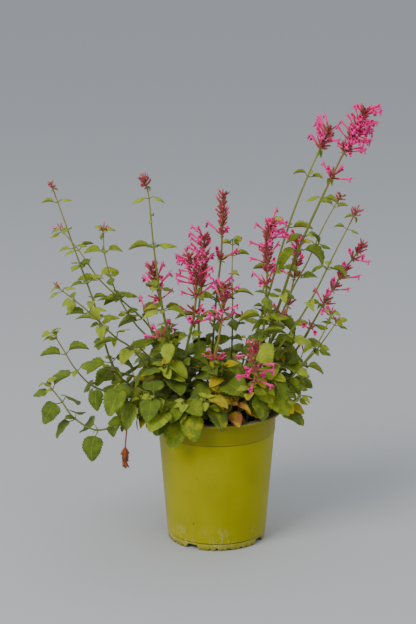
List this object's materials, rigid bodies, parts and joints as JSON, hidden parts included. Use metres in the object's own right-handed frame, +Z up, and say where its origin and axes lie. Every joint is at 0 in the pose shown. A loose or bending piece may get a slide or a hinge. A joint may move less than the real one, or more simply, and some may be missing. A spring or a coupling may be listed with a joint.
{
  "type": "potted giant hyssop",
  "caption": "Potted giant hyssop: lime green plastic nursery pot of compost with square leafy stems, toothed leaves and spikes of long pink tube flowers.",
  "frame": {"origin": "centre of the flat round pad under the pot's floor, in the plane that the pot rests on", "axes": "+Z up along the pot's axis; -Y is the front, the side the picture shows; +X is the right of the picture, where the tallest spikes lean"},
  "size_m": [0.4805, 0.2699, 0.6424],
  "materials": {
    "pot": "lime green moulded plastic, satin, with a grey-taupe inside and lip, scuffed near the foot",
    "compost": "dark brown crumbly peat compost",
    "foliage": "matt olive green leaves and stems, paler and yellower towards the tips",
    "blossom": "hot pink tube flowers with crimson calyces",
    "withered": "withered yellow and orange-brown leaves",
    "dry": "dry rust brown stalk and head"
  },
  "bodies": {
    "root": {"pot": "pot", "compost": "compost", "stem_right_tall": "foliage", "spike_right_tall": "blossom", "stem_right_tall_back": "foliage", "spike_right_tall_back": "blossom", "stem_right_bud": "foliage", "spike_right_bud": "blossom", "stem_right_front_bud": "foliage", "spike_right_front_bud": "blossom", "stem_right_low": "foliage", "spike_right_low": "blossom", "stem_right_thin_front": "foliage", "stem_right_thin_back": "foliage", "stem_centre_left_back": "foliage", "spike_centre_left_back": "blossom", "stem_centre_left_front": "foliage", "spike_centre_left_front": "blossom", "stem_centre_red": "foliage", "spike_centre_red": "blossom", "stem_centre_thin": "foliage", "stem_centre_low": "foliage", "spike_centre_low": "blossom", "stem_front_cluster": "foliage", "spike_front_cluster": "blossom", "stem_centre_right": "foliage", "spike_centre_right": "blossom", "stem_right_behind": "foliage", "spike_right_behind": "blossom", "stem_left_tall_bud": "foliage", "spike_left_tall_bud": "blossom", "stem_left_pink": "foliage", "spike_left_pink": "blossom", "stem_far_left_tall": "foliage", "spike_far_left_tall": "blossom", "stem_left_back": "foliage", "stem_left_middle": "foliage", "stem_left_front": "foliage", "stem_left_low": "foliage", "stem_left_trailing": "foliage", "stem_bush_left_back": "foliage", "stem_bush_left_front": "foliage", "stem_bush_back_left": "foliage", "stem_bush_front_left": "foliage", "stem_bush_middle_left": "foliage", "stem_bush_front": "foliage", "stem_bush_front_centre": "foliage", "stem_bush_centre": "foliage", "stem_bush_front_right": "foliage", "stem_bush_middle_right": "foliage", "stem_bush_right": "foliage", "stem_bush_right_low": "foliage", "stem_bush_right_front": "foliage", "stem_bush_back": "foliage", "stem_bush_back_right": "foliage", "stem_bush_far_back_left": "foliage", "stem_bush_far_back_right": "foliage", "stem_withered": "withered", "dry_stalk": "dry"}
  },
  "joints": []
}
